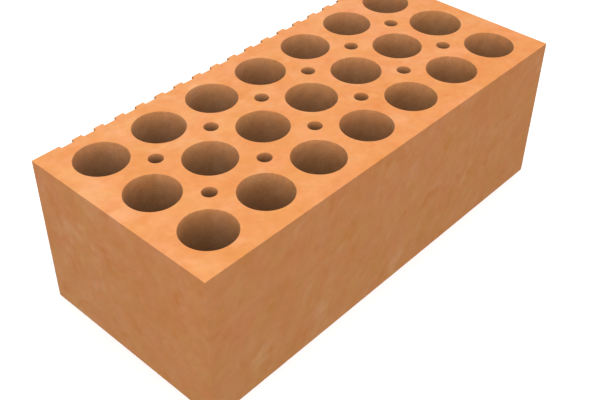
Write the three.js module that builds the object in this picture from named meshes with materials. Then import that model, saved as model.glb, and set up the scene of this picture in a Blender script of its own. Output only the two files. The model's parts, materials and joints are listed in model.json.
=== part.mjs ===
// A perforated clay brick: one piece of fired clay with nothing fixed to it.
// The clay is pushed through a die, which gives the upright walls, the holes and the keyed back,
// and a wire cuts it to height, which leaves both bed faces flat and their edges sharp.
// Millimetres: X runs along the brick, Y from its smooth front to its keyed back, Z up.
// The origin is the middle of the bed face that the brick lies on.

import * as THREE from 'three';

// The brick
const LENGTH = 250;
const WIDTH = 114;
const HEIGHT = 85;
const CORNER_RADIUS = 0.4; // of the four upright corners, as the die leaves them

// The holes, which run right through from bed to bed
const HOLE_DIAMETER = 26.2;
const WIDE_HOLE_EXTRA = 2; // how much wider the middle hole by the right end came out
const END_SHELL = 9.3; // clay between the large holes and each end
const FACE_SHELL = 8.7; // clay between the large holes and each long face
const WEB = 7.75; // least clay between large holes, and all the clay round a small one

// The grooves down the back, which key mortar or plaster to it
const GROOVE_WIDTH = 7;
const GROOVE_DEPTH = 1.8;
const RIB_WIDTH = 5.5;

// How many straight steps stand for each curve
const LARGE_HOLE_STEPS = 40;
const SMALL_HOLE_STEPS = 20;
const CORNER_STEPS = 3;

const FIRED_CLAY = new THREE.MeshStandardMaterial({
  name: 'fired_clay',
  color: 0xe39a64,
  roughness: 0.92,
  metalness: 0,
});

// Places of count things that stand pitch apart, with their middle at zero
function centredRow(count, pitch) {
  return Array.from({ length: count }, (_, i) => (i - (count - 1) / 2) * pitch);
}

// How many things of one width fit side by side in a run of clay, with a gap between neighbours
function countThatFits(run, width, gap) {
  return Math.floor((run + gap) / (width + gap));
}

// Centres of the large holes along one side of the brick: the outer two stand against the
// shells and the rest are spread evenly between them
function largeHoleRow(side, shell) {
  const run = side - 2 * shell;
  const count = countThatFits(run, HOLE_DIAMETER, WEB);
  return centredRow(count, (run - HOLE_DIAMETER) / Math.max(count - 1, 1));
}

// Middles of the spaces between neighbours in a row
function between(row) {
  return row.slice(1).map((place, i) => (place + row[i]) / 2);
}

function arc(x, y, radius, start, end, steps) {
  return new THREE.EllipseCurve(x, y, radius, radius, start, end).getPoints(steps);
}

// A round hole at every crossing of the lines x = columns and y = rows, as wide as widthAt says
function holeGrid(columns, rows, widthAt, steps) {
  const hole = (x, y) => new THREE.Path(arc(x, y, widthAt(x, y) / 2, 0, 2 * Math.PI, steps));
  return columns.flatMap((x) => rows.map((y) => hole(x, y)));
}

function holes() {
  const columns = largeHoleRow(LENGTH, END_SHELL);
  const rows = largeHoleRow(WIDTH, FACE_SHELL);
  const smallColumns = between(columns);
  const smallRows = between(rows);

  // Each small hole sits in the middle of four large ones, as wide as the web round it allows
  const diagonal = 2 * Math.hypot(columns[0] - smallColumns[0], rows[0] - smallRows[0]);
  const smallDiameter = diagonal - HOLE_DIAMETER - 2 * WEB;

  const wideX = columns.at(-1);
  const wideY = rows[Math.floor(rows.length / 2)];
  const largeDiameter = (x, y) =>
    x === wideX && y === wideY ? HOLE_DIAMETER + WIDE_HOLE_EXTRA : HOLE_DIAMETER;

  return [
    ...holeGrid(columns, rows, largeDiameter, LARGE_HOLE_STEPS),
    ...holeGrid(smallColumns, smallRows, () => smallDiameter, SMALL_HOLE_STEPS),
  ];
}

// The corners of the grooves in the order that the outline meets them, from +X to -X
function grooves() {
  const count = countThatFits(LENGTH - 2 * END_SHELL, GROOVE_WIDTH, RIB_WIDTH);
  const rim = WIDTH / 2;
  const floor = rim - GROOVE_DEPTH;
  return centredRow(count, GROOVE_WIDTH + RIB_WIDTH)
    .reverse()
    .flatMap((x) => {
      const right = x + GROOVE_WIDTH / 2;
      const left = x - GROOVE_WIDTH / 2;
      return [
        new THREE.Vector2(right, rim),
        new THREE.Vector2(right, floor),
        new THREE.Vector2(left, floor),
        new THREE.Vector2(left, rim),
      ];
    });
}

// The die's outline, anticlockwise from the front right corner
function outline() {
  const x = LENGTH / 2 - CORNER_RADIUS;
  const y = WIDTH / 2 - CORNER_RADIUS;
  const corner = (centreX, centreY, quarter) =>
    arc(
      centreX,
      centreY,
      CORNER_RADIUS,
      (quarter * Math.PI) / 2,
      ((quarter + 1) * Math.PI) / 2,
      CORNER_STEPS,
    );
  return [
    ...corner(x, -y, 3),
    ...corner(x, y, 0),
    ...grooves(),
    ...corner(-x, y, 1),
    ...corner(-x, -y, 2),
  ];
}

function brick() {
  const section = new THREE.Shape(outline());
  section.holes = holes();
  const solid = new THREE.ExtrudeGeometry(section, { depth: HEIGHT, bevelEnabled: false });
  const mesh = new THREE.Mesh(solid, FIRED_CLAY);
  mesh.name = 'clay_brick';
  return mesh;
}

const group = new THREE.Group();
group.add(brick());

export default group;
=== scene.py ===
"""A perforated clay brick on a pale floor, with its fired surface, soft arrises and hole lips."""

import json
import math

import bmesh
import bpy
from mathutils import Matrix, Vector, noise


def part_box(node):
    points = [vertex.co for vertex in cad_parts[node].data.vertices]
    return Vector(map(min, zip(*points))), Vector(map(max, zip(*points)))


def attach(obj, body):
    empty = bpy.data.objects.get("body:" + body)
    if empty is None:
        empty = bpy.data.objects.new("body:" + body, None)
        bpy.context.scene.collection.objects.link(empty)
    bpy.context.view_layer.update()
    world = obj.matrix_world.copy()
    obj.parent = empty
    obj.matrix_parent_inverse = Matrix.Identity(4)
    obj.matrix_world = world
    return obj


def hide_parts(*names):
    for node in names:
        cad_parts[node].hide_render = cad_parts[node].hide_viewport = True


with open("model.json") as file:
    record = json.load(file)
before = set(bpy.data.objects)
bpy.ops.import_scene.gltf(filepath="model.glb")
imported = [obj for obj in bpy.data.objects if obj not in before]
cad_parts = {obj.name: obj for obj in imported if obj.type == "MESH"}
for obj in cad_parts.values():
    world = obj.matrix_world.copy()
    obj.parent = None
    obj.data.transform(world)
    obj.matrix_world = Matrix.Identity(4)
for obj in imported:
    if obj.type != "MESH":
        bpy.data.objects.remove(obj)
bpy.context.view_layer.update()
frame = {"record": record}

part = frame["record"]["subparts"][0]
NODE = part["node"]
MM = 0.001

# ---------------------------------------------------------------- the brick's section, in metres
LOW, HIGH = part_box(NODE)
LENGTH, WIDTH, HEIGHT = HIGH - LOW
CORNER_RADIUS = 0.15 * MM
HOLE_RADIUS = 13.1 * MM
WIDE_HOLE_RADIUS = 14.1 * MM
END_SHELL = 9.3 * MM
FACE_SHELL = 8.7 * MM
HOLE_COLUMNS = 7
HOLE_ROWS = 3
SMALL_HOLE_RADIUS = 3.689 * MM
GROOVES = 18
GROOVE_PITCH = 12.5 * MM
GROOVE_WIDTH = 7.0 * MM
GROOVE_DEPTH = 1.8 * MM

# ---------------------------------------------------------------- how finely the clay is modelled
ROUND_PROFILE = 0.5
CORNER_SEGMENTS = 4
ARRIS_RADIUS = 0.12 * MM
ARRIS_SEGMENTS = 3
ARRIS_STEP = 1.5 * MM
LIP_SEGMENTS = 4
LARGE_HOLE_STEPS = 72
SMALL_HOLE_STEPS = 28
WEAR = 0.05 * MM
WEAR_SIZE = 5.0 * MM
WEAR_MEAN = 0.5
WEAR_FRACTAL = (0.8, 2.0, 3)  # how rough, how much finer each layer is, and how many layers
FACE_WEIGHT = 100

# What counts as straight, sharp, level or touching while the mesh is made
STRAIGHT = math.radians(1)
SHARP_TURN = math.radians(45)
FACING = 0.7
LEVEL = 0.999
TOUCH = 0.01 * MM
CUT_TOUCH = 0.0001 * MM
WELD_TOUCH = 0.001 * MM

# The finishes, numbered as the mesh carries them
(FACE_FINISH, SHADED_CORNER, GROOVE_FLOOR, GROOVE_SIDE,
 BED_FINISH, WALL_FINISH, SMALL_WALL_FINISH) = range(7)

# ---------------------------------------------------------------- the fired clay's linear colour
CLAY = (0.627, 0.254, 0.091)

# Tints that the mottle lays over it
PLAIN = (1.0, 1.0, 1.0)
PALE_TINT = (1.055, 1.20, 1.47)
RICH_TINT = (0.945, 0.835, 0.64)
GREEN_TINT = (0.985, 1.045, 0.95)
PINK_TINT = (1.015, 0.955, 1.05)
RUST_TINT = (0.968, 0.885, 0.76)

# Tints from one side of the brick to the other, and how much of the painted shade at the foot shows
SKIN_DRIFT = {"Front": (1.016, 0.993, 0.958), "Back": (1.028, 1.048, 1.142)}
WALL_DRIFT = {**SKIN_DRIFT, "Foot shade": 0.0}
BED_DRIFT = {"Front": (0.991, 0.962, 0.847), "Back": (1.011, 1.031, 1.029),
             "Far": (0.970, 0.952, 0.962), "Foot shade": 0.0}
# Painted light on the front face: the cooler colour of the low fill lamp that falls on it
FRONT_FILL_LIGHT_TINT = (1.006, 1.023, 1.059)
# Painted shade at the foot: darker and less red towards the floor
PAINTED_FOOT_SHADE = (0.928, 0.975, 0.950)

# Painted shade: the upright corners darkened against the highlight that the lamps give them, the
# grooves darker in their recesses, and the hole walls darker with depth, where less light reaches
# Painted shade on the upright corners, against the highlight that the lamps give them
CORNER_SHADE_TINT = (0.92, 0.92, 0.91)
# Painted shade in the grooves: their sides darker than their floors
GROOVE_FLOOR_SHADE = (0.82, 0.86, 0.91)
GROOVE_SIDE_SHADE = (0.50, 0.60, 0.62)
# Painted shade in the holes: the tint at the lips, further in and deep down, and how fast it
# darkens
LIP_SHADE_TINT = (0.868, 0.928, 0.930)
HOLE_SHADE_TINT = (0.498, 0.608, 0.692)
DEEP_SHADE_TINT = (0.55, 0.72, 0.87)
SHADE_FADE_DEPTH = 6.0 * MM
# The small holes' painted shade darkens faster, as less light gets into them
SMALL_LIP_SHADE_TINT = (0.946, 0.974, 0.950)
SMALL_HOLE_SHADE_TINT = (0.432, 0.537, 0.609)
SMALL_DEEP_SHADE_TINT = (0.53, 0.66, 0.75)
SMALL_SHADE_FADE_DEPTH = 2.0 * MM
DEEP_RANGE = (8 * MM, 24 * MM)

# The seam in each large hole and the side of its wall that carries painted shade, by turns in
# degrees
SEAM_TURN = 43
SEAM_EDGE = 5
SEAM_REACH = 45
SHADED_SIDE_TURN = -50
SHADED_SIDE_EDGE = (45, 20)
SEAM_AND_SHADE_TINTS = {"Before": (1.030, 1.042, 1.085), "Past": (0.980, 0.958, 0.918),
              "Shaded side": (0.855, 0.915, 0.940)}

# ---------------------------------------------------------------- patterns in the clay
# The slant along which smears are drawn out, in degrees, and how far
SMEAR_TILT = 44
SMEAR_TURN = -34
SMEAR_STRETCH = 1.5

# Size, detail, roughness and seed of each noise in the mottle
SMEARS = (10 * MM, 5.0, 0.73, 20.0)
CLOUDS = (24 * MM, 1.0, 0.6, 2.0)
SPOTS = (14 * MM, 2.0, 0.6, 23.0)
FLECKS = (14 * MM, 2.0, 0.6, 25.0)
BLUSH = (14 * MM, 3.0, 0.65, 7.0)
TONE = (4 * MM, 2.0, 0.6, 9.0)

# How strongly each shows, or where its patches begin and are full
SMEAR_REACH = 3.2
CLOUD_REACH = 0.7
BLUSH_REACH = 4.8
TONE_REACH = 0.19
SPOT_EDGE = (0.58, 0.68)
FLECK_EDGE = (0.59, 0.72)

# Shares of the mottle on the beds and in the holes, where they aren't whole
BED_MOTTLE = {"Smears": 1.2, "Clouds": 2.0, "Spots": 0.8}
WALL_MOTTLE = {"Smears": 0.6, "Clouds": 0.5, "Spots": 0.5, "Flecks": 0.5, "Blush": 0.6, "Tone": 2.4}

# Sand: the detail and roughness of its noise, and the shine and relief that it gives
SAND = (3.0, 0.7)
SKIN_GRAIN = {"Size": 0.5 * MM, "Shading": 0.06}
WALL_GRAIN = {"Size": 0.8 * MM, "Shading": 0.65}
GRAIN_RANGE = (0.3, 0.7)
GRAIN_DEPTH = 0.03 * MM
ROUGHNESS = (0.84, 0.96)
SPECULAR = 0.25

# Lines that the die draws: the detail and roughness of their noise, their sizes and depths
LINES = (2.0, 0.6)
SKIN_LINES = {"Across": 3 * MM, "Along": 60 * MM, "Shading": 0.0}
SKIN_LINE_DEPTH = 0.01 * MM
WALL_LINES = {"Across": 1.2 * MM, "Along": 60 * MM, "Shading": 0.06}
WALL_LINE_DEPTH = 0.02 * MM

# ---------------------------------------------------------------- light, floor and camera
WHITE = (1.0, 1.0, 1.0)
SKY = 0.80
OVERHEAD = 1.59
OVERHEAD_POWER = 4.6
HORIZON_BLUR = 0.02
# Strength, height and turn in degrees, and how closely each is gathered
SOFT_LAMPS = ((2.00, 30, 201, 9.0), (0.72, 6, 275, 3.8))
UNDER_LAMP = 1.2
FLOOR_SIZE = 12.0
FLOOR_PAINT = (0.90, 0.94, 0.97)
FLOOR_ROUGHNESS = 0.9
FLOOR_GLOW = 0.08
CAMERA_PLACE = (-292.62 * MM, -256.28 * MM, 339.51 * MM)
CAMERA_TURN = 46.760
CAMERA_DIP = 39.378
CAMERA_LENS = 56.256
CAMERA_SENSOR = 36.0
CAMERA_SHIFT = (0.02747, -0.00290)
CAMERA_NEAR = 0.01
CAMERA_FAR = 50


# ---------------------------------------------------------------- where the holes stand

def centred(count, pitch):
    """Places of a row of like features, centred on zero."""
    return [(i - (count - 1) / 2) * pitch for i in range(count)]


def hole_pitches():
    """How far apart the large holes stand, along the brick and across it."""
    along = (LENGTH - 2 * (END_SHELL + HOLE_RADIUS)) / (HOLE_COLUMNS - 1)
    across = (WIDTH - 2 * (FACE_SHELL + HOLE_RADIUS)) / (HOLE_ROWS - 1)
    return along, across


def hole_centres():
    """Centres of the large holes, of the wider one in the middle of the far end's row, and of the
    small holes, each in the middle of four large ones."""
    along, across = hole_pitches()
    large = [(x, y) for x in centred(HOLE_COLUMNS, along) for y in centred(HOLE_ROWS, across)]
    small = [(x, y) for x in centred(HOLE_COLUMNS - 1, along)
             for y in centred(HOLE_ROWS - 1, across)]
    wide = [large.pop(-1 - HOLE_ROWS // 2)]
    return large, wide, small


# ---------------------------------------------------------------- the mesh

def cut_across(bm, place, direction):
    """One straight cut through everything, square to direction."""
    geometry = bm.verts[:] + bm.edges[:] + bm.faces[:]
    bmesh.ops.bisect_plane(bm, geom=geometry, dist=CUT_TOUCH, plane_co=place, plane_no=direction)


def die_outline(bm):
    """The flat outline that the die gives the clay: rounded corners, and grooves along the back."""
    bmesh.ops.create_grid(bm, x_segments=1, y_segments=1, size=0.5)
    bmesh.ops.scale(bm, vec=(LENGTH, WIDTH, 1), verts=bm.verts)
    bmesh.ops.bevel(bm, geom=bm.verts[:], offset=CORNER_RADIUS, segments=CORNER_SEGMENTS,
                    profile=ROUND_PROFILE, affect="VERTICES", material=-1)
    groove_floor = WIDTH / 2 - GROOVE_DEPTH
    middles = centred(GROOVES, GROOVE_PITCH)
    cut_across(bm, (0, groove_floor, 0), (0, 1, 0))
    for x in middles:
        cut_across(bm, (x - GROOVE_WIDTH / 2, 0, 0), (1, 0, 0))
        cut_across(bm, (x + GROOVE_WIDTH / 2, 0, 0), (1, 0, 0))

    def in_groove(face):
        centre = face.calc_center_median()
        off_middle = min(abs(centre.x - x) for x in middles)
        return centre.y > groove_floor and off_middle < GROOVE_WIDTH / 2

    bmesh.ops.delete(bm, geom=[f for f in bm.faces if in_groove(f)], context="FACES")
    bmesh.ops.dissolve_limit(bm, angle_limit=STRAIGHT, use_dissolve_boundaries=False,
                             verts=bm.verts, edges=bm.edges)
    for edge in bm.edges[:]:
        cuts = round(edge.calc_length() / ARRIS_STEP) - 1
        if cuts > 0:
            bmesh.ops.subdivide_edges(bm, edges=[edge], cuts=cuts)


def name_die_finishes(bm):
    """Gives the upright corners, and the sides and floors of the grooves, finishes of their own,
    which carry painted shade.
    """
    for face in bm.faces:
        place = face.calc_center_median()
        from_end = LENGTH / 2 - abs(place.x)
        if max(from_end, WIDTH / 2 - abs(place.y)) < CORNER_RADIUS:
            face.material_index = SHADED_CORNER
        # The sides and floors of the grooves get painted shade, darker in the recess
        below_ribs = TOUCH < WIDTH / 2 - place.y < GROOVE_DEPTH + TOUCH
        if below_ribs and from_end > END_SHELL:
            if abs(face.normal.x) > FACING:
                face.material_index = GROOVE_SIDE
            elif face.normal.y > FACING:
                face.material_index = GROOVE_FLOOR


def column_of_clay(bm):
    """The solid block between the two cuts of the wire, with its arrises rounded."""
    die_outline(bm)
    top = bmesh.ops.extrude_face_region(bm, geom=bm.faces[:])["geom"]
    bmesh.ops.translate(bm, vec=(0, 0, HEIGHT),
                        verts=[v for v in top if isinstance(v, bmesh.types.BMVert)])
    bmesh.ops.recalc_face_normals(bm, faces=bm.faces)
    arrises = [e for e in bm.edges if e.calc_face_angle(0) > SHARP_TURN]
    bmesh.ops.bevel(bm, geom=arrises, offset=ARRIS_RADIUS, segments=ARRIS_SEGMENTS,
                    profile=ROUND_PROFILE, affect="EDGES", material=-1)
    name_die_finishes(bm)


def hole_wall(radius, steps, finish):
    """The wall of a hole at the origin, with rounded lips: a profile spun about the hole's axis."""
    bm = bmesh.new()
    profile = []
    for i in range(LIP_SEGMENTS + 1):
        turn = math.pi / 2 * i / LIP_SEGMENTS
        out = radius + ARRIS_RADIUS * (1 - math.sin(turn))
        profile.append((out, HEIGHT - ARRIS_RADIUS * (1 - math.cos(turn))))
    profile += [(out, HEIGHT - z) for out, z in reversed(profile)]
    points = [bm.verts.new((out, 0, z)) for out, z in profile]
    edges = [bm.edges.new(pair) for pair in zip(points, points[1:])]
    bmesh.ops.spin(bm, geom=points + edges, cent=(0, 0, 0), axis=(0, 0, 1), dvec=(0, 0, 0),
                   angle=math.tau, steps=steps, use_merge=True, use_duplicate=False)
    for face in bm.faces:
        face.material_index = finish
    wall = bpy.data.meshes.new("hole_wall")
    bm.to_mesh(wall)
    bm.free()
    return wall


def line_holes(bm, wall, centres):
    """Sets a copy of the wall in each of these holes."""
    for x, y in centres:
        copy = wall.copy()
        copy.transform(Matrix.Translation((x, y, 0)))
        bm.from_mesh(copy)
        bpy.data.meshes.remove(copy)


def open_beds(bm):
    """Takes away the two plain ends of the block, to be made again round the holes."""
    plain = [f for f in bm.faces if abs(f.normal.z) > LEVEL and len(f.verts) > 4]
    bmesh.ops.delete(bm, geom=plain, context="FACES_ONLY")


def close_bed(bm, z):
    """The bed at this height, filled between the brick's outline and the rims of its holes."""
    rims = [e for e in bm.edges
            if e.is_boundary and all(abs(v.co.z - z) < TOUCH for v in e.verts)]
    facing = Vector((0, 0, 1 if z > HEIGHT / 2 else -1))
    filled = bmesh.ops.triangle_fill(bm, edges=rims, use_beauty=True, normal=facing)["geom"]
    for face in filled:
        if isinstance(face, bmesh.types.BMFace):
            face.material_index = BED_FINISH


def soften_unevenly(bm):
    """Wears the arrises and lips along both beds a little more in some places than in others."""
    bm.normal_update()
    for vert in bm.verts:
        below_bed = min(vert.co.z, HEIGHT - vert.co.z)
        if TOUCH < below_bed < ARRIS_RADIUS - TOUCH:
            worn = WEAR_MEAN + noise.fractal(vert.co / WEAR_SIZE, *WEAR_FRACTAL)
            middle = math.sin(math.pi * below_bed / ARRIS_RADIUS)
            vert.co -= vert.normal * WEAR * middle * max(0.0, worn)


def brick_mesh():
    """The whole brick as one closed mesh, in its place."""
    bm = bmesh.new()
    column_of_clay(bm)
    open_beds(bm)
    large, wide, small = hole_centres()
    line_holes(bm, hole_wall(HOLE_RADIUS, LARGE_HOLE_STEPS, WALL_FINISH), large)
    line_holes(bm, hole_wall(WIDE_HOLE_RADIUS, LARGE_HOLE_STEPS, WALL_FINISH), wide)
    line_holes(bm, hole_wall(SMALL_HOLE_RADIUS, SMALL_HOLE_STEPS, SMALL_WALL_FINISH), small)
    for z in (0.0, HEIGHT):
        close_bed(bm, z)
    bmesh.ops.remove_doubles(bm, verts=bm.verts, dist=WELD_TOUCH)
    bmesh.ops.recalc_face_normals(bm, faces=bm.faces)
    soften_unevenly(bm)
    for face in bm.faces:
        face.smooth = True
    mesh = bpy.data.meshes.new("perforated_brick")
    bm.to_mesh(mesh)
    bm.free()
    return mesh


# ---------------------------------------------------------------- node helpers

def feed(tree, socket, value):
    """Gives a socket the output that it reads, or a plain value. A colour of three is made
    opaque."""
    if isinstance(value, bpy.types.NodeSocket):
        tree.links.new(value, socket)
    elif socket.type == "RGBA" and len(value) == 3:
        socket.default_value = (*value, 1.0)
    else:
        socket.default_value = value


def node(tree, kind, inputs=None, **settings):
    """A shader node with its settings and inputs."""
    made = tree.nodes.new("ShaderNode" + kind)
    for name, value in settings.items():
        setattr(made, name, value)
    for socket, value in (inputs or {}).items():
        feed(tree, made.inputs[socket], value)
    return made


def math_node(tree, operation, *values):
    """The result of a sum on values and outputs."""
    return node(tree, "Math", dict(enumerate(values)), operation=operation).outputs[0]


def effect(name, inputs, outputs):
    """An empty node group with named inputs, each with its usual value, and named outputs.
    Returns it and its two ends."""
    tree = bpy.data.node_groups.new(name, "ShaderNodeTree")
    for label, value in inputs.items():
        kind = "NodeSocketColor" if isinstance(value, tuple) else "NodeSocketFloat"
        socket = tree.interface.new_socket(label, in_out="INPUT", socket_type=kind)
        socket.default_value = (*value, 1.0) if isinstance(value, tuple) else value
    for label, kind in outputs.items():
        tree.interface.new_socket(label, in_out="OUTPUT", socket_type=kind)
    ends = tree.nodes.new("NodeGroupInput").outputs, tree.nodes.new("NodeGroupOutput").inputs
    return tree, *ends


def placed(tree, group, values=None):
    """The results of an effect, placed in a material with its usual values or with these."""
    return node(tree, "Group", values, node_tree=group).outputs


def object_place(tree):
    """Where a point lies on the brick, in the brick's own coordinates."""
    return node(tree, "TexCoord").outputs["Object"]


def object_axes(tree):
    """The same place as three numbers: along the brick, across it and up."""
    return node(tree, "SeparateXYZ", {0: object_place(tree)}).outputs


def spread(tree, value, low, high, to_low=0.0, to_high=1.0):
    """The value stretched so that low becomes to_low and high to_high."""
    values = {"Value": value, "From Min": low, "From Max": high,
              "To Min": to_low, "To Max": to_high}
    return node(tree, "MapRange", values, clamp=True).outputs["Result"]


def tinted(tree, share, colour, other, blend="MIX"):
    """One colour turned towards another by a share."""
    inputs = {0: share, 6: colour, 7: other}
    return node(tree, "Mix", inputs, data_type="RGBA", blend_type=blend).outputs[2]


def multiplied(tree, colour, *tints):
    """The colour with each of the tints laid over it in turn."""
    for tint in tints:
        colour = tinted(tree, 1.0, colour, tint, "MULTIPLY")
    return colour


def off_mean(tree, value):
    """How far a noise stands from its mean."""
    return math_node(tree, "SUBTRACT", value, 0.5)


def about_one(tree, value, reach):
    """A grey tint that swings about 1 by a noise's distance from its mean."""
    return math_node(tree, "MULTIPLY_ADD", off_mean(tree, value), reach, 1.0)


# ---------------------------------------------------------------- effects of clay and firing

def clay_mottle():
    """How the fired clay varies about its mean, as a tint: smears of paler and richer clay drawn
    out along one slant, broad clouds, rusty spots, pale flecks, a blush that comes and goes, and
    a fine unevenness of tone."""
    shares = dict.fromkeys(("Smears", "Clouds", "Spots", "Flecks", "Blush", "Tone"), 1.0)
    tree, given, result = effect("clay_mottle", shares, {"Tint": "NodeSocketColor"})
    place = object_place(tree)
    slant = (0, math.radians(-SMEAR_TILT), math.radians(SMEAR_TURN))
    stretch = {"Vector": place, "Rotation": slant, "Scale": (SMEAR_STRETCH, 1, 1)}
    drawn = node(tree, "Mapping", stretch, vector_type="TEXTURE").outputs[0]

    def pattern(along, size, detail, roughness, seed):
        inputs = {"Vector": along, "W": seed, "Scale": 1 / size,
                  "Detail": detail, "Roughness": roughness}
        return node(tree, "TexNoise", inputs, noise_dimensions="4D").outputs["Fac"]

    def swing(value, reach, share):
        reached = math_node(tree, "MULTIPLY", off_mean(tree, value), reach)
        return math_node(tree, "MULTIPLY", reached, share)

    def patches(value, edge, share):
        return math_node(tree, "MULTIPLY", spread(tree, value, *edge), share)

    smears = swing(pattern(drawn, *SMEARS), SMEAR_REACH, given["Smears"])
    clouds = swing(pattern(place, *CLOUDS), CLOUD_REACH, given["Clouds"])
    paleness = math_node(tree, "ADD", smears, clouds)
    tint = tinted(tree, spread(tree, paleness, 0.0, 1.0), PLAIN, PALE_TINT)
    tint = tinted(tree, spread(tree, paleness, 0.0, -1.0), tint, RICH_TINT)
    spots = patches(pattern(place, *SPOTS), SPOT_EDGE, given["Spots"])
    flecks = patches(pattern(drawn, *FLECKS), FLECK_EDGE, given["Flecks"])
    tint = tinted(tree, flecks, tinted(tree, spots, tint, RUST_TINT), PALE_TINT)
    blush = swing(pattern(drawn, *BLUSH), BLUSH_REACH, given["Blush"])
    cast = tinted(tree, spread(tree, blush, -1.0, 1.0), GREEN_TINT, PINK_TINT)
    reach = math_node(tree, "MULTIPLY", given["Tone"], TONE_REACH)
    tone = about_one(tree, pattern(drawn, *TONE), reach)
    tree.links.new(multiplied(tree, tint, cast, tone), result["Tint"])
    return tree


def drift_and_foot_shade():
    """How the colour changes across the brick, as a tint: from front to back and towards the far
    end, with painted shade towards the foot, darker and less red near the floor."""
    usual = {"Front": PLAIN, "Back": PLAIN, "Far": PLAIN, "Foot shade": 1.0}
    tree, given, result = effect("drift_and_foot_shade", usual, {"Tint": "NodeSocketColor"})
    along, across, up = object_axes(tree)
    towards_back = spread(tree, across, -WIDTH / 2, WIDTH / 2)
    towards_far = spread(tree, along, -LENGTH / 2, LENGTH / 2)
    towards_foot = spread(tree, up, HEIGHT, 0.0)
    # Painted shade at the foot, where the floor would shade the upright faces
    foot = math_node(tree, "MULTIPLY", towards_foot, given["Foot shade"])
    tint = tinted(tree, towards_back, given["Front"], given["Back"])
    tint = tinted(tree, towards_far, tint, given["Far"], "MULTIPLY")
    tree.links.new(tinted(tree, foot, tint, PAINTED_FOOT_SHADE, "MULTIPLY"), result["Tint"])
    return tree


def grainy_effect(name, usual):
    """An empty effect that puts out a height for the bump and a faint light and dark shade."""
    return effect(name, usual, {"Height": "NodeSocketFloat", "Shade": "NodeSocketFloat"})


def grainy_results(tree, given, result, along, size, detail, roughness):
    """Fills a grainy effect with one noise of this size along these coordinates."""
    scale = math_node(tree, "DIVIDE", 1.0, size)
    inputs = {"Vector": along, "Scale": scale, "Detail": detail, "Roughness": roughness}
    grain = node(tree, "TexNoise", inputs).outputs["Fac"]
    tree.links.new(grain, result["Height"])
    tree.links.new(about_one(tree, grain, given["Shading"]), result["Shade"])


def sandy_grain():
    """Fine sand in the clay."""
    tree, given, result = grainy_effect("sandy_grain", SKIN_GRAIN)
    grainy_results(tree, given, result, object_place(tree), given["Size"], *SAND)
    return tree


def drag_lines():
    """Faint upright lines drawn through the wet clay by the die."""
    tree, given, result = grainy_effect("drag_lines", SKIN_LINES)
    along = math_node(tree, "DIVIDE", given["Across"], given["Along"])
    squeeze = node(tree, "CombineXYZ", {0: 1.0, 1: 1.0, 2: along}).outputs[0]
    drawn = node(tree, "VectorMath", {0: object_place(tree), 1: squeeze}, operation="MULTIPLY")
    grainy_results(tree, given, result, drawn.outputs[0], given["Across"], *LINES)
    return tree


def seam_and_shaded_side():
    """The upright seam where the clay closed behind the bridge of each hole's core, as a tint: its
    two sides fired a little apart. The wall a quarter turn before it is darkened with painted
    shade, on the side turned from the lamp. It is alike in every large hole."""
    usual = {"Before": PLAIN, "Past": PLAIN, "Shaded side": PLAIN}
    tree, given, result = effect("seam_and_shaded_side", usual, {"Tint": "NodeSocketColor"})
    along, across = (math_node(tree, "WRAP", place, pitch / 2, -pitch / 2)
                     for place, pitch in zip(object_axes(tree), hole_pitches()))
    turn = math_node(tree, "ARCTAN2", across, along)

    def turn_past(degrees):
        return math_node(tree, "SUBTRACT", turn, math.radians(degrees))

    past = turn_past(SEAM_TURN)
    away = math_node(tree, "ABSOLUTE", past)
    fade = math_node(tree, "MULTIPLY", away, -1 / math.radians(SEAM_REACH))
    near = math_node(tree, "EXPONENT", fade)
    beyond = spread(tree, past, -math.radians(SEAM_EDGE), math.radians(SEAM_EDGE))
    side = tinted(tree, beyond, given["Before"], given["Past"])
    tint = tinted(tree, near, PLAIN, side)
    # Painted shade on the side of each hole's wall turned from the lamp
    from_shaded_side = math_node(tree, "ABSOLUTE", turn_past(SHADED_SIDE_TURN))
    shaded_side = spread(tree, from_shaded_side, *(math.radians(edge) for edge in SHADED_SIDE_EDGE))
    tree.links.new(tinted(tree, shaded_side, tint, given["Shaded side"], "MULTIPLY"), result["Tint"])
    return tree


# ---------------------------------------------------------------- finishes

def fired_surface(name):
    """A material with a matt shader, ready for its colour, roughness and bump. Returns it, its
    tree and its shader."""
    material = bpy.data.materials.new(name)
    material.use_nodes = True
    tree = material.node_tree
    shader = tree.nodes["Principled BSDF"]
    shader.inputs["Specular IOR Level"].default_value = SPECULAR
    return material, tree, shader


def bump(tree, shader, *layers):
    """Feeds the shader's normal from (height, depth in metres) layers, one over the other."""
    normal = None
    for height, depth in layers:
        made = node(tree, "Bump", {"Height": height, "Strength": 1.0, "Distance": depth})
        if normal is not None:
            tree.links.new(normal, made.inputs["Normal"])
        normal = made.outputs[0]
    tree.links.new(normal, shader.inputs["Normal"])


def sanded(tree, shader, sand, *drag):
    """Gives the shader the roughness and relief of the sand, and over it any lines of the die."""
    rough = spread(tree, sand["Height"], *GRAIN_RANGE, *ROUGHNESS)
    tree.links.new(rough, shader.inputs["Roughness"])
    bump(tree, shader, (sand["Height"], GRAIN_DEPTH), *drag)


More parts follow.
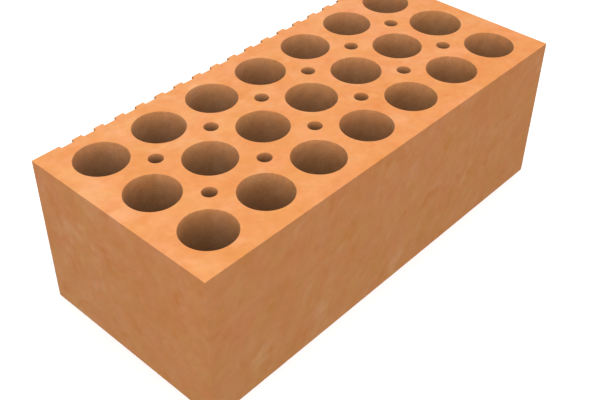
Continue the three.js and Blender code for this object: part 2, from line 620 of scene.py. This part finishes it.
def die_skin(effects, name="die_skin", tint=PLAIN):
    """The upright faces, pressed smooth by the die. The front is tinted bluer, a painted stand-in
    for the cooler fill light that falls on it, and any further tint is painted shade.
    """
    material, tree, shader = fired_surface(name)
    # Painted light: the front face takes the cooler colour of the fill lamp
    front_fill_share = spread(tree, object_axes(tree)["Y"], CORNER_RADIUS - WIDTH / 2, -WIDTH / 2)
    front = tinted(tree, front_fill_share, PLAIN, FRONT_FILL_LIGHT_TINT)
    mottle = placed(tree, effects["mottle"])
    drift = placed(tree, effects["drift"], SKIN_DRIFT)
    sand = placed(tree, effects["grain"])
    drag = placed(tree, effects["lines"])
    colour = multiplied(tree, CLAY, mottle["Tint"], drift["Tint"], front, tint, sand["Shade"])
    tree.links.new(colour, shader.inputs["Base Color"])
    sanded(tree, shader, sand, (drag["Height"], SKIN_LINE_DEPTH))
    return material


def wire_cut_bed(effects):
    """The two beds, cut by the wire, where the smears and the clouds show most."""
    material, tree, shader = fired_surface("wire_cut_bed")
    mottle = placed(tree, effects["mottle"], BED_MOTTLE)
    drift = placed(tree, effects["drift"], BED_DRIFT)
    sand = placed(tree, effects["grain"])
    colour = multiplied(tree, CLAY, mottle["Tint"], drift["Tint"], sand["Shade"])
    tree.links.new(colour, shader.inputs["Base Color"])
    sanded(tree, shader, sand)
    return material


def hole_wall_clay(effects, name, lip_shade, hole_shade, deep_shade, shade_fade_depth, seam_and_shade_tints=None):
    """The wall of a hole, with painted shade: lighter at both lips, darker a few millimetres in,
    where less light reaches, and paler and less red once more deep down. The core leaves a seam
    only in a large hole."""
    material, tree, shader = fired_surface(name)
    height = object_axes(tree)["Z"]
    depth = math_node(tree, "MINIMUM", height, math_node(tree, "SUBTRACT", HEIGHT, height))
    # Painted shade in the hole: the lip's tint fades into the darker tints with depth
    near_lip = math_node(tree, "EXPONENT", math_node(tree, "MULTIPLY", depth, -1 / shade_fade_depth))
    inner_shade = tinted(tree, spread(tree, depth, *DEEP_RANGE), hole_shade, deep_shade)
    depth_shade = tinted(tree, near_lip, inner_shade, lip_shade)
    mottle = placed(tree, effects["mottle"], WALL_MOTTLE)
    drift = placed(tree, effects["drift"], WALL_DRIFT)
    sand = placed(tree, effects["grain"], WALL_GRAIN)
    drag = placed(tree, effects["lines"], WALL_LINES)
    colour = multiplied(tree, CLAY, mottle["Tint"], drift["Tint"], depth_shade)
    # The tints round a large hole: its seam, and painted shade on one side
    if seam_and_shade_tints:
        colour = multiplied(tree, colour, placed(tree, effects["seam"], seam_and_shade_tints)["Tint"])
    colour = multiplied(tree, colour, drag["Shade"], sand["Shade"])
    tree.links.new(colour, shader.inputs["Base Color"])
    sanded(tree, shader, sand, (drag["Height"], WALL_LINE_DEPTH))
    return material


# ---------------------------------------------------------------- scene

def studio_light():
    """An even sky, brighter overhead, with a broad soft lamp from the left and a low fill from the
    front. Nothing shines from below the horizon, and the camera sees plain white."""
    bpy.context.scene.view_settings.view_transform = "Standard"
    world = bpy.data.worlds.new("soft_studio")
    world.use_nodes = True
    bpy.context.scene.world = world
    tree = world.node_tree
    tree.nodes.clear()
    way = node(tree, "TexCoord").outputs["Generated"]
    rise = node(tree, "SeparateXYZ", {0: way}).outputs["Z"]
    overhead = math_node(tree, "POWER", spread(tree, rise, 0.0, 1.0), OVERHEAD_POWER)
    light = math_node(tree, "MULTIPLY_ADD", overhead, SKY * OVERHEAD, SKY)
    for strength, height_degrees, turn_degrees, focus in SOFT_LAMPS:
        height, turn = math.radians(height_degrees), math.radians(turn_degrees)
        towards = (math.cos(height) * math.cos(turn), math.cos(height) * math.sin(turn),
                   math.sin(height))
        facing = node(tree, "VectorMath", {0: way, 1: towards}, operation="DOT_PRODUCT")
        fall = math_node(tree, "MULTIPLY_ADD", facing.outputs["Value"], focus, -focus)
        glow = math_node(tree, "EXPONENT", fall)
        light = math_node(tree, "MULTIPLY_ADD", glow, strength, light)
    above = spread(tree, rise, -HORIZON_BLUR, HORIZON_BLUR)
    light = math_node(tree, "MULTIPLY", light, above)
    lit = node(tree, "Background", {"Color": WHITE, "Strength": light}).outputs[0]
    seen = node(tree, "Background", {"Color": WHITE, "Strength": 1.0}).outputs[0]
    camera_ray = node(tree, "LightPath").outputs["Is Camera Ray"]
    shown = node(tree, "MixShader", {0: camera_ray, 1: lit, 2: seen}).outputs[0]
    node(tree, "OutputWorld", {"Surface": shown})


def under_lamp():
    """A lamp straight below, which shines through the floor and lights only what faces down."""
    data = bpy.data.lights.new("under_lamp", "SUN")
    data.energy = UNDER_LAMP
    data.angle = 0
    lamp = bpy.data.objects.new("under_lamp", data)
    lamp.rotation_euler = (math.pi, 0, 0)
    bpy.context.collection.objects.link(lamp)


def pale_floor():
    """A wide pale floor. It takes the brick's soft shadow, throws no light back, and is clear from
    below."""
    bm = bmesh.new()
    bmesh.ops.create_grid(bm, x_segments=1, y_segments=1, size=FLOOR_SIZE / 2)
    mesh = bpy.data.meshes.new("floor")
    bm.to_mesh(mesh)
    bm.free()
    floor = bpy.data.objects.new("floor", mesh)
    bpy.context.collection.objects.link(floor)
    material = bpy.data.materials.new("pale_floor")
    material.use_nodes = True
    tree = material.node_tree
    paint = tree.nodes["Principled BSDF"]
    looks = {"Base Color": FLOOR_PAINT, "Roughness": FLOOR_ROUGHNESS, "Specular IOR Level": 0.0,
             "Emission Color": WHITE, "Emission Strength": FLOOR_GLOW}
    for socket, value in looks.items():
        feed(tree, paint.inputs[socket], value)
    clear = node(tree, "BsdfTransparent").outputs[0]
    under = node(tree, "NewGeometry").outputs["Backfacing"]
    shown = node(tree, "MixShader", {0: under, 1: paint.outputs[0], 2: clear}).outputs[0]
    tree.links.new(shown, tree.nodes["Material Output"].inputs["Surface"])
    mesh.materials.append(material)
    floor.visible_diffuse = False
    floor.visible_glossy = False
    floor.visible_shadow = False


def camera():
    """The camera, level, looking down on the brick's near corner."""
    data = bpy.data.cameras.new("camera")
    data.sensor_width = CAMERA_SENSOR
    data.lens = CAMERA_LENS
    data.shift_x, data.shift_y = CAMERA_SHIFT
    data.clip_start = CAMERA_NEAR
    data.clip_end = CAMERA_FAR
    cam = bpy.data.objects.new("camera", data)
    cam.location = CAMERA_PLACE
    cam.rotation_euler = (math.radians(90 - CAMERA_DIP), 0, math.radians(-CAMERA_TURN))
    bpy.context.collection.objects.link(cam)
    bpy.context.scene.camera = cam


def brick():
    """The finished brick, in the place of its plain solid."""
    piece = bpy.data.objects.new("perforated_brick", brick_mesh())
    bpy.context.collection.objects.link(piece)
    effects = {"mottle": clay_mottle(), "drift": drift_and_foot_shade(), "grain": sandy_grain(),
               "lines": drag_lines(), "seam": seam_and_shaded_side()}
    finishes = {
        FACE_FINISH: die_skin(effects),
        # The corners and grooves take painted shade as their tints
        SHADED_CORNER: die_skin(effects, "corner", CORNER_SHADE_TINT),
        GROOVE_FLOOR: die_skin(effects, "groove_floor", GROOVE_FLOOR_SHADE),
        GROOVE_SIDE: die_skin(effects, "groove_side", GROOVE_SIDE_SHADE),
        BED_FINISH: wire_cut_bed(effects),
        # The hole walls' tints are painted shade, darker with depth
        WALL_FINISH: hole_wall_clay(effects, "hole_wall", LIP_SHADE_TINT, HOLE_SHADE_TINT, DEEP_SHADE_TINT,
                                    SHADE_FADE_DEPTH, SEAM_AND_SHADE_TINTS),
        SMALL_WALL_FINISH: hole_wall_clay(effects, "small_hole_wall", SMALL_LIP_SHADE_TINT,
                                          SMALL_HOLE_SHADE_TINT, SMALL_DEEP_SHADE_TINT, SMALL_SHADE_FADE_DEPTH),
    }
    for number in sorted(finishes):
        piece.data.materials.append(finishes[number])
    shading = piece.modifiers.new("even_shading", "WEIGHTED_NORMAL")
    shading.weight = FACE_WEIGHT
    shading.keep_sharp = True
    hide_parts(NODE)
    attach(piece, "root")


brick()
studio_light()
under_lamp()
pale_floor()
camera()
